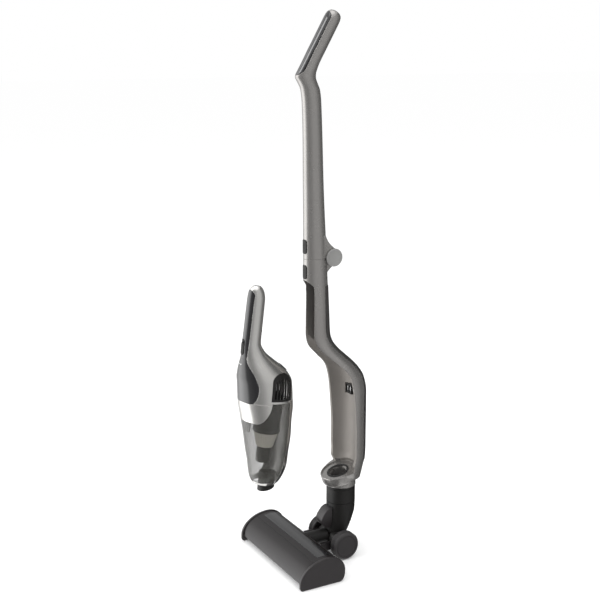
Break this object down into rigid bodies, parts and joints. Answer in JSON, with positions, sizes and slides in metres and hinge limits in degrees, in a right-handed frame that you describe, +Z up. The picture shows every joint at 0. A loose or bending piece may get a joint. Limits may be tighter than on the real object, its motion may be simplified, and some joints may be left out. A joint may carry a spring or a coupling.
{
  "type": "cordless stick vacuum",
  "caption": "Cordless stick vacuum with a folding stick, a lift-off hand unit with a clear dust cup, and a wheeled brush head on a swivelling, reclining neck.",
  "frame": {"origin": "on the floor, under the middle of the vacuum's width and depth", "axes": "+Z up along the stick, +X to the vacuum's right, -Y to its front, where the hand unit and the brush are"},
  "size_m": [0.2646, 0.2828, 1.1028],
  "materials": {
    "titanium": "metallic titanium-grey lacquer, satin",
    "cap_grey": "satin grey",
    "cover_dark": "fine matt grain",
    "gloss_black": "high gloss",
    "matt_black": "fine matt grain",
    "charcoal": "fine matt grain",
    "satin_head": "satin with a faint metallic flake",
    "rubber": "matt",
    "tyre": "matt",
    "silver": "bright metallic silver lacquer",
    "bright_rim": "bright metallic silver, polished",
    "smoke": "clear, smoke tinted, polished",
    "filter_light": "pale grey, fine pleats",
    "steel": "brushed",
    "bristle": "soft nylon",
    "board": "solder mask",
    "cell": "shrink wrap"
  },
  "bodies": {
    "floor_head": {"head_shell": "satin_head", "head_window": "gloss_black", "rear_band": "charcoal", "end_plate_right": "charcoal", "end_plate_left": "charcoal", "head_duct": "matt_black", "sole_plate": "matt_black", "brush_motor": "steel", "drive_belt": "rubber", "axle_right": "steel", "axle_left": "steel"},
    "brush": {"brush_core": "matt_black", "bristle_strip_1": "bristle", "bristle_strip_2": "bristle", "bristle_strip_3": "bristle", "brush_pulley": "matt_black"},
    "pinion": {"motor_pinion": "steel"},
    "wheel_right": {"tyre_right": "tyre", "wheel_right": "charcoal"},
    "wheel_left": {"tyre_left": "tyre", "wheel_left": "charcoal"},
    "neck": {"neck_elbow": "matt_black", "upright_stop": "charcoal"},
    "stick_frame": {"lower_frame": "titanium", "rear_cover": "cover_dark", "power_connector": "matt_black", "socket_seal": "rubber", "swivel_collar": "matt_black", "hinge_pin": "steel", "hinge_cap_right": "cap_grey", "hinge_cap_left": "cap_grey"},
    "stick_upper": {"upper_tube": "titanium", "grip_inlay": "gloss_black"},
    "fold_button": {"fold_button": "matt_black"},
    "dock_button": {"dock_button": "matt_black"},
    "handset": {"handset_shell_right": "silver", "handset_shell_left": "silver", "front_panel": "gloss_black", "grip_strip": "gloss_black", "charge_inlet": "matt_black", "vent_grille_right": "matt_black", "vent_grille_left": "matt_black", "suction_motor": "steel", "battery_cell_1": "cell", "battery_cell_2": "cell", "circuit_board": "board"},
    "power_switch": {"power_switch": "matt_black"},
    "cup_release": {"cup_release": "charcoal"},
    "impeller": {"fan_impeller": "charcoal"},
    "dust_cup": {"dust_cup": "smoke", "cup_rim": "bright_rim", "nozzle": "matt_black", "filter_frame": "matt_black", "filter_cone": "filter_light", "filter_core": "matt_black"}
  },
  "joints": [
    {"name": "brush_spin", "type": "hinge", "parent": "floor_head", "child": "brush", "pos_m": [0, -0.0399, 0.0244], "axis": [1, 0, 0], "continuous": true},
    {"name": "pinion_spin", "type": "hinge", "parent": "floor_head", "child": "pinion", "pos_m": [0, 0.0056, 0.026], "axis": [1, 0, 0], "continuous": true},
    {"name": "wheel_right_spin", "type": "hinge", "parent": "floor_head", "child": "wheel_right", "pos_m": [0, 0.0741, 0.0294], "axis": [1, 0, 0], "continuous": true},
    {"name": "wheel_left_spin", "type": "hinge", "parent": "floor_head", "child": "wheel_left", "pos_m": [0, 0.0741, 0.0294], "axis": [1, 0, 0], "continuous": true},
    {"name": "neck_recline", "type": "hinge", "parent": "floor_head", "child": "neck", "pos_m": [0, 0.0741, 0.0294], "axis": [-1, 0, 0], "range_deg": [0, 75]},
    {"name": "stick_swivel", "type": "hinge", "parent": "neck", "child": "stick_frame", "pos_m": [0, 0.0921, 0.11], "axis": [0, 0, 1], "range_deg": [-35, 35]},
    {"name": "stick_fold", "type": "hinge", "parent": "stick_frame", "child": "stick_upper", "pos_m": [0, 0.0624, 0.631], "axis": [-1, 0, 0], "range_deg": [0, 130]},
    {"name": "fold_button_press", "type": "slide", "parent": "stick_upper", "child": "fold_button", "axis": [0, 1, 0], "range_m": [0, 0.0025], "stiffness_N_per_m": 1500},
    {"name": "dock_button_press", "type": "slide", "parent": "stick_frame", "child": "dock_button", "axis": [0, 1, 0], "range_m": [0, 0.0025], "stiffness_N_per_m": 1500},
    {"name": "handset_dock", "type": "hinge", "parent": "stick_frame", "child": "handset", "pos_m": [0, -0.03041, 1.45609], "axis": [1, 0, 0], "range_deg": [0, 7.5]},
    {"name": "power_switch_slide", "type": "slide", "parent": "handset", "child": "power_switch", "axis": [0, 0.1305, 0.9914], "range_m": [0, 0.006]},
    {"name": "cup_release_press", "type": "slide", "parent": "handset", "child": "cup_release", "axis": [0, -0.9914, 0.1305], "range_m": [0, 0.002], "stiffness_N_per_m": 1200},
    {"name": "impeller_spin", "type": "hinge", "parent": "handset", "child": "impeller", "pos_m": [0, -0.0817, 0.3578], "axis": [0, 0.1305, 0.9914], "continuous": true},
    {"name": "cup_pull", "type": "slide", "parent": "handset", "child": "dust_cup", "axis": [0, 0.1305, 0.9914], "range_m": [-0.1, 0]}
  ],
  "couplings": [
    {"joint": "pinion_spin", "follows": "brush_spin", "ratio": 2.5}
  ]
}
